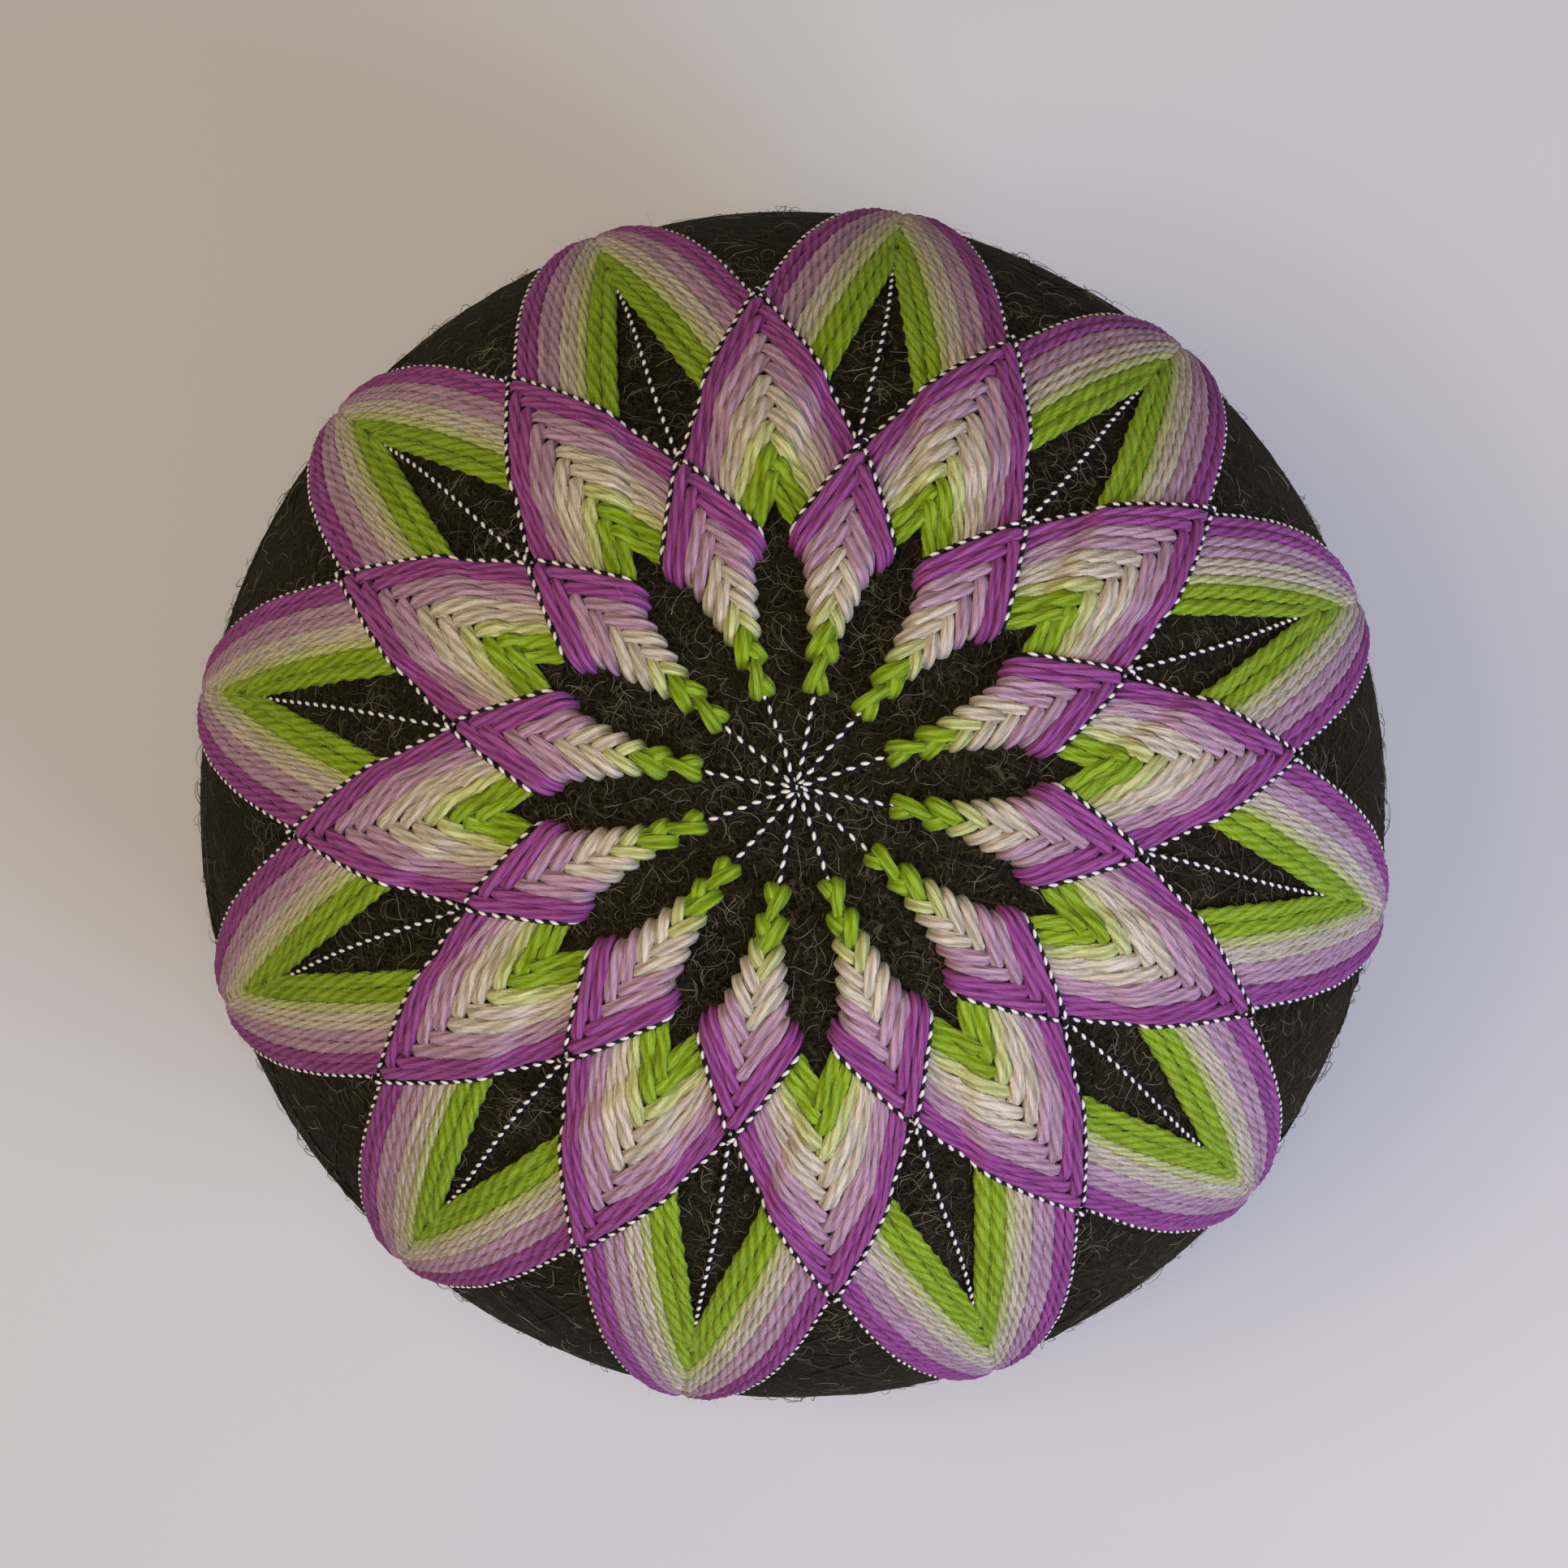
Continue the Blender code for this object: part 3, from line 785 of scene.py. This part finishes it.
class TemariSettings(bpy.types.PropertyGroup):
    """Sizes and colours that every part of the dressing shares."""

    twist_pitch: FloatProperty(
        name="Twist Pitch",
        description="Length of thread in which the four cotton plies go once round",
        default=0.0058,
        unit="LENGTH",
    )
    groove_depth: FloatProperty(
        name="Groove Depth",
        description="Depth of the grooves between the cotton plies, as a share of the thread's half width",
        default=0.17,
        subtype="FACTOR",
        min=0.0,
        max=0.5,
    )
    marking_pitch: FloatProperty(
        name="Marking Pitch",
        description="Length from one light dash of a marking thread to the next",
        default=0.00083,
        unit="LENGTH",
    )
    outline_pitch: FloatProperty(
        name="Outline Pitch",
        description="Length from one light dash of an outline to the next",
        default=0.00086,
        unit="LENGTH",
    )
    tip_bend: FloatProperty(
        name="Tip Bend",
        description="Angle round the ball over which the point of each V is rounded",
        default=math.radians(0.2),
        subtype="ANGLE",
    )
    dive_length: FloatProperty(
        name="Dive Length",
        description="Length in which a thread's end goes down into the ball",
        default=0.00065,
        unit="LENGTH",
    )
    strand_count: IntProperty(
        name="Strands",
        description="Loose strands of the winding that lie on the ball",
        default=70,
        subtype="UNSIGNED",
    )
    fibre_count: IntProperty(
        name="Fibres",
        description="Curly fibres that stand off the winding",
        default=4700,
        subtype="UNSIGNED",
    )
    hair_count: IntProperty(
        name="Hairs",
        description="Short hairs that stand off each cotton row",
        default=50,
        subtype="UNSIGNED",
    )
    wool_colour: colour_choice("Wool", "Colour of the wound wool, strands and fibres alike", "161207")
    green_colour: colour_choice("Green", "Colour of the two innermost cotton rows", "97B431")
    straw_colour: colour_choice("Straw", "Colour of the third cotton row", "D2D38C")
    cream_colour: colour_choice("Cream", "Colour of the fourth and fifth cotton rows", "DECFB4")
    lilac_colour: colour_choice("Lilac", "Colour of the sixth and seventh cotton rows", "C6A0AE")
    purple_colour: colour_choice("Purple", "Colour of the two outermost cotton rows", "A75895")
    dark_colour: colour_choice("Dark Thread", "Colour of the fine cord's dark plies", "0C0A0A")
    ivory_colour: colour_choice("Ivory Thread", "Colour of the fine cord's light ply", "F6EEE2")


class TEMARI_OT_wound_ball(bpy.types.Operator):
    """Wind the ball: a sphere, a little uneven, pressed flat where it rests"""

    bl_idname = "temari.wound_ball"
    bl_label = "Wound Ball"

    def execute(self, context):
        around = 160
        down = 80
        phi = np.arange(around) * 360 / around
        theta = np.arange(1, down)[:, None] * 180 / down
        rings = direction(*np.broadcast_arrays(theta, phi[None])).reshape(-1, 3)
        outs = np.concatenate([rings, [[0, 0, 1], [0, 0, -1]]])
        axes = np.random.default_rng(3).normal(0, 9, (6, 3))
        uneven = sum(np.sin(outs @ axis + k) for k, axis in enumerate(axes))
        corners = BALL_CENTRE + outs * (BALL_RADIUS + 0.02 * MM * uneven[:, None])
        corners[:, 2] = np.maximum(corners[:, 2], 0.0)
        k = np.arange(around)
        following = (k + 1) % around
        ring = np.arange(down - 2)[:, None] * around
        a, b = ring + k, ring + around + k
        c, d = ring + around + following, ring + following
        walls = np.stack([a, c, b, a, d, c], axis=-1).reshape(-1, 3)
        top = len(rings)
        last = (down - 2) * around
        top_fan = np.stack([np.full(around, top), following, k], axis=-1)
        bottom_fan = np.stack([np.full(around, top + 1), last + k, last + following], axis=-1)
        faces = np.concatenate([walls, top_fan, bottom_fan])
        finish = winding_finish(context.scene.temari.wool_colour)
        ball = add_mesh("wound_wool", corners, faces, [finish], np.zeros(len(faces)), {})
        settled(ball, "wrap", "wound_ball")
        return {"FINISHED"}


class TEMARI_OT_winding_strands(bpy.types.Operator):
    """Lay loose strands of the winding over the ball, each nearly a great circle"""

    bl_idname = "temari.winding_strands"
    bl_label = "Winding Strands"

    def execute(self, context):
        rng = np.random.default_rng(5)
        count = context.scene.temari.strand_count
        colour = context.scene.temari.wool_colour
        steps = 90
        share = np.linspace(0, 1, steps)
        axis = unit(rng.normal(size=(count, 1, 3)))
        first = unit(np.cross(axis, rng.normal(size=(count, 1, 3))))
        second = np.cross(axis, first)
        angle = (share * FULL_TURN * 1.01)[None, :, None]
        drift = 0.05 * (share[None, :, None] - 0.5) + 0.012 * np.sin(angle * rng.uniform(1, 3, (count, 1, 1)))
        outs = unit(np.cos(angle) * first + np.sin(angle) * second + drift * axis)
        along = np.broadcast_to(share * FULL_TURN * BALL_RADIUS / MM, (count, steps))
        lift = 0.03 * waves(rng, count, along[0], (13.0, 29.0, 7.0))
        lift = lift - 0.3 * (1 - smooth(np.minimum(share, 1 - share) * 60))
        points = BALL_CENTRE + outs * (BALL_RADIUS + lift[..., None] * MM)
        sideways, outward = frames(outs, points)
        sides = 3
        angles = np.broadcast_to(corners_round(sides) + 0.4, along.shape + (sides,))
        radius = np.broadcast_to(rng.uniform(0.05, 0.1, (count, 1)), along.shape) * MM
        rings = tube_rings(points, sideways, outward, radius, radius, angles, 1.0)
        skin = Skin()
        skin.add_tubes(rings, lie=lie_on_thread(along, angles, 0.13), chance=rng.uniform(0, 1, (count, 1, 1)))
        # Painted light: the strands are drawn 2.6 times as bright as the wool, and greyer, for the light that
        # gets through them.
        finish = wool_finish("winding strand wool", brighter(colour, 2.6, 0.3), 0.1)
        piece = skin.build("winding_strands", [finish])
        settled(piece, "wrap")
        return {"FINISHED"}


class TEMARI_OT_loose_fibres(bpy.types.Operator):
    """Curl loose fibres over the open wool: each turns about at random and lifts off in its middle"""

    bl_idname = "temari.loose_fibres"
    bl_label = "Loose Fibres"

    def execute(self, context):
        rng = np.random.default_rng(8)
        wanted = context.scene.temari.fibre_count
        colour = context.scene.temari.wool_colour
        outs = unit(rng.normal(size=(wanted * 12, 3)))
        theta = np.degrees(np.arccos(outs[:, 2]))
        phi = np.degrees(np.arctan2(outs[:, 0], outs[:, 1])) % 360
        open_wool = np.ones(len(outs), bool)
        for star in range(2):
            away = np.abs((phi - star * LINE_STEP + LINE_STEP) % (2 * LINE_STEP) - LINE_STEP)
            row = row_at(theta, away)
            open_wool &= (row < INNERMOST) | (row > OUTERMOST)
            row = row_at(theta, 2 * LINE_STEP - away)
            open_wool &= (row < INNERMOST) | (row > OUTERMOST) | (away < 20)
        weight = np.select([theta < 32, theta < 58], [1.0, 0.6], 0.08)
        keep = open_wool & (rng.uniform(0, 1, len(outs)) < weight)
        outs = outs[keep][:wanted]
        count = len(outs)
        length = rng.uniform(0.6, 2.8, (count, 1))
        steps = 6
        share = np.linspace(0, 1, steps)[None]
        along = share * length
        helper = unit(np.cross(outs, rng.normal(size=(count, 3))))
        other = np.cross(outs, helper)
        heading = (
            rng.uniform(0, FULL_TURN, (count, 1))
            + rng.normal(0, 0.9, (count, 1)) * along
            + 0.8 * np.sin(along * rng.uniform(1.0, 2.6, (count, 1)) + rng.uniform(0, 6, (count, 1)))
        )
        step = (length / (steps - 1)) * MM
        x = np.cumsum(np.cos(heading), axis=1) * step
        y = np.cumsum(np.sin(heading), axis=1) * step
        shadow = unit(
            outs[:, None] + (x[..., None] * helper[:, None] + y[..., None] * other[:, None]) / BALL_RADIUS
        )
        arch = rng.uniform(0.04, 0.6, (count, 1)) ** 1.4
        lift = arch * np.sin(math.pi * share) + 0.12 * np.sin(3 * math.pi * share) * arch - 0.02
        points = BALL_CENTRE + shadow * (BALL_RADIUS + lift[..., None] * MM)
        sideways, outward = frames(shadow, points)
        sides = 3
        angles = np.broadcast_to(corners_round(sides), along.shape + (sides,))
        radius = rng.uniform(0.016, 0.036, (count, 1)) * MM * (1 - 0.5 * share)
        rings = tube_rings(points, sideways, outward, radius, radius, angles, 1.0)
        skin = Skin()
        skin.add_tubes(rings, lie=lie_on_thread(along, angles, 0.03), chance=rng.uniform(0, 1, (count, 1, 1)))
        # Painted light: the loose fibres are drawn 22 times as bright as the wool, and greyer, for the light
        # that gets through them.
        finish = wool_finish("loose wool fibre", brighter(colour, 22.0, 0.5), 0.1)
        piece = skin.build("loose_fibres", [finish])
        settled(piece, "wrap")
        return {"FINISHED"}


class TEMARI_OT_marking_threads(bpy.types.Operator):
    """Run the twelve marking threads from pole to pole, crossing over one another at the poles"""

    bl_idname = "temari.marking_threads"
    bl_label = "Marking Threads"

    def execute(self, context):
        settings = context.scene.temari
        rng = np.random.default_rng(21)
        walked = np.linspace(0, math.pi * BALL_RADIUS / MM, 6000)
        fine = np.degrees(walked * MM / BALL_RADIUS)
        hidden = ((fine > 11) & (fine < 30)) | ((fine > 58) & (fine < 88))
        pitch = settings.marking_pitch / MM
        local = np.where(hidden, 0.6, np.where(fine > 88, pitch / 4, pitch / 6))
        count = np.concatenate([[0], np.cumsum(np.diff(walked) / local[1:])])
        along = np.interp(np.linspace(0, count[-1], int(count[-1]) + 1), count, walked)
        theta = np.degrees(along * MM / BALL_RADIUS)[None]
        line = np.arange(LINES)[:, None]
        over = (line % (LINES // 2)) * 0.13
        near_pole = np.exp(-((theta / 1.6) ** 2)) + np.exp(-(((180 - theta) / 1.6) ** 2))
        under_leaves = smooth((theta - 10) / 2) * smooth((31 - theta) / 2)
        under_petals = smooth((theta - 56.5) / 2) * smooth((89 - theta) / 2)
        lift = 0.16 + over * near_pole + 0.02 * waves(rng, LINES, along, (4.0, 9.0))
        lift = lift - 0.3 * (under_leaves + under_petals)
        stray = 0.25 * waves(rng, LINES, along, (17.0, 31.0)) / np.sin(np.radians(theta + 4) / 1.03)
        phi = line * LINE_STEP + stray
        phi = np.where(theta > 2, phi, line * LINE_STEP)
        outs = direction(np.broadcast_to(theta, phi.shape), phi)
        points = BALL_CENTRE + outs * (BALL_RADIUS + lift[..., None] * MM)
        shadow = direction(theta + 90, line * LINE_STEP)
        sideways = unit(np.cross(shadow, outs))
        outward = unit(np.cross(sideways, shadow))
        skin = Skin()
        along = np.broadcast_to(along, phi.shape)
        add_fine_thread(skin, points, sideways, outward, along, settings.marking_pitch, rng)
        piece = skin.build("fine_marking_threads", fine_finishes(settings))
        settled(piece, "marking", "marking_threads")
        return {"FINISHED"}


class TEMARI_OT_stitched_rows(bpy.types.Operator):
    """Stitch the nine cotton rows of both stars, one piece for each row of a star"""

    bl_idname = "temari.stitched_rows"
    bl_label = "Stitched Rows"

    def execute(self, context):
        settings = context.scene.temari
        step = 0.34
        for star, star_name in enumerate(STARS):
            for row, cotton in enumerate(COTTONS):
                rng = np.random.default_rng(100 * star + row + 1)
                course = stitched_course(star, row, settings, rng, step, step / 2, (0.31, 1.03), 0.07)
                rings, values = cotton_rings(*course, settings, rng)
                skin = Skin()
                skin.add_tubes(rings, **values)
                add_fuzz(skin, rings, settings.hair_count, rng)
                colour = getattr(settings, f"{cotton.colour}_colour")
                finish = cotton_finish(f"{cotton.colour} cotton", colour)
                piece = skin.build(f"{star_name}_row_{row + 1}", [finish])
                settled(piece, cotton.node, f"{star_name}_{cotton.node}")
        return {"FINISHED"}


class TEMARI_OT_outlines(bpy.types.Operator):
    """Lay the fine outline along the last row of each star"""

    bl_idname = "temari.outlines"
    bl_label = "Outlines"

    def execute(self, context):
        settings = context.scene.temari
        step = settings.outline_pitch / MM / 6
        for star, star_name in enumerate(STARS):
            rng = np.random.default_rng(60 + star)
            course = stitched_course(star, OUTLINE_ROW, settings, rng, step, step, (0.22, 0.93), 0.05)
            skin = Skin()
            add_fine_thread(skin, *course[:4], settings.outline_pitch, rng)
            piece = skin.build(f"{star_name}_outline", fine_finishes(settings))
            settled(piece, "marking")
        return {"FINISHED"}


class TEMARI_OT_stage(bpy.types.Operator):
    """Set the pale floor, the soft lights and the camera"""

    bl_idname = "temari.stage"
    bl_label = "Stage"

    def execute(self, context):
        scene = context.scene
        # A matt, nearly white floor: it gives the eye only the ball's soft shadow.
        finish, _, shader = new_finish("pale floor")
        shader.inputs["Base Color"].default_value = linear("D8D5CF")
        shader.inputs["Roughness"].default_value = 0.9
        mesh = bpy.data.meshes.new("floor")
        half = 1.2
        corners = [(-half, -half, 0), (half, -half, 0), (half, half, 0), (-half, half, 0)]
        mesh.from_pydata(corners, [], [(0, 1, 2, 3)])
        mesh.materials.append(finish)
        floor = bpy.data.objects.new("floor", mesh)
        scene.collection.objects.link(floor)
        turn = math.radians(CAMERA_TURN)
        up = Vector((math.sin(turn), math.cos(turn), 0))
        right = Vector((math.cos(turn), -math.sin(turn), 0))
        centre = Vector(BALL_CENTRE)
        lamps = (
            ("warm_window", -0.22 * right - 0.02 * up + Vector((0, 0, 0.46)), 0.26, 0.95, "FFEDD8"),
            ("cool_window", 0.27 * right - 0.20 * up + Vector((0, 0, 0.26)), 0.24, 1.45, "C6D2FF"),
            ("top_glow", Vector((0, 0, 0.52)), 0.16, 0.72, "FFF4E8"),
        )
        for name, offset, size, power, colour in lamps:
            light = bpy.data.lights.new(name, "AREA")
            light.shape = "DISK"
            light.size = size
            light.energy = power
            light.color = linear(colour)[:3]
            lamp = bpy.data.objects.new(name, light)
            lamp.location = centre + offset
            lamp.rotation_euler = offset.to_track_quat("Z", "Y").to_euler()
            scene.collection.objects.link(lamp)
        world = bpy.data.worlds.new("soft room")
        world.use_nodes = True
        world.node_tree.nodes["Background"].inputs["Color"].default_value = linear("E8E6E4")
        world.node_tree.nodes["Background"].inputs["Strength"].default_value = 0.13
        scene.world = world
        scene.view_settings.view_transform = "Standard"
        tilt = math.radians(CAMERA_TILT)
        lean = CAMERA_LEAN[0] * right + CAMERA_LEAN[1] * up
        aim = math.sin(tilt) * lean + Vector((0, 0, math.cos(tilt)))
        aim.normalize()
        camera = bpy.data.objects.new("camera", bpy.data.cameras.new("camera"))
        camera.data.lens = CAMERA_LENS
        camera.data.sensor_width = 36
        camera.data.shift_x, camera.data.shift_y = CAMERA_SHIFT
        camera.data.clip_start = 0.01
        side = up.cross(aim).normalized()
        turned = Matrix((side, aim.cross(side), aim)).transposed().to_4x4()
        turned.translation = centre + aim * CAMERA_DISTANCE * BALL_RADIUS
        camera.matrix_world = turned
        scene.collection.objects.link(camera)
        scene.camera = camera
        return {"FINISHED"}


class TEMARI_PT_panel(bpy.types.Panel):
    """Buttons for each part of the dressing"""

    bl_idname = "TEMARI_PT_panel"
    bl_label = "Temari Ball"
    bl_space_type = "VIEW_3D"
    bl_region_type = "UI"
    bl_category = "Temari"

    def draw(self, context):
        settings = context.scene.temari
        for name in TemariSettings.__annotations__:
            self.layout.prop(settings, name)
        for operator in OPERATORS:
            self.layout.operator(operator.bl_idname)


OPERATORS = (
    TEMARI_OT_wound_ball,
    TEMARI_OT_winding_strands,
    TEMARI_OT_loose_fibres,
    TEMARI_OT_marking_threads,
    TEMARI_OT_stitched_rows,
    TEMARI_OT_outlines,
    TEMARI_OT_stage,
)


def register():
    for cls in (TemariSettings, *OPERATORS, TEMARI_PT_panel):
        bpy.utils.register_class(cls)
    bpy.types.Scene.temari = PointerProperty(type=TemariSettings)


def unregister():
    del bpy.types.Scene.temari
    for cls in (TEMARI_PT_panel, *reversed(OPERATORS), TemariSettings):
        bpy.utils.unregister_class(cls)


def main():
    register()
    bpy.ops.temari.wound_ball()
    bpy.ops.temari.winding_strands()
    bpy.ops.temari.loose_fibres()
    bpy.ops.temari.marking_threads()
    bpy.ops.temari.stitched_rows()
    bpy.ops.temari.outlines()
    bpy.ops.temari.stage()


if __name__ == "__main__":
    main()
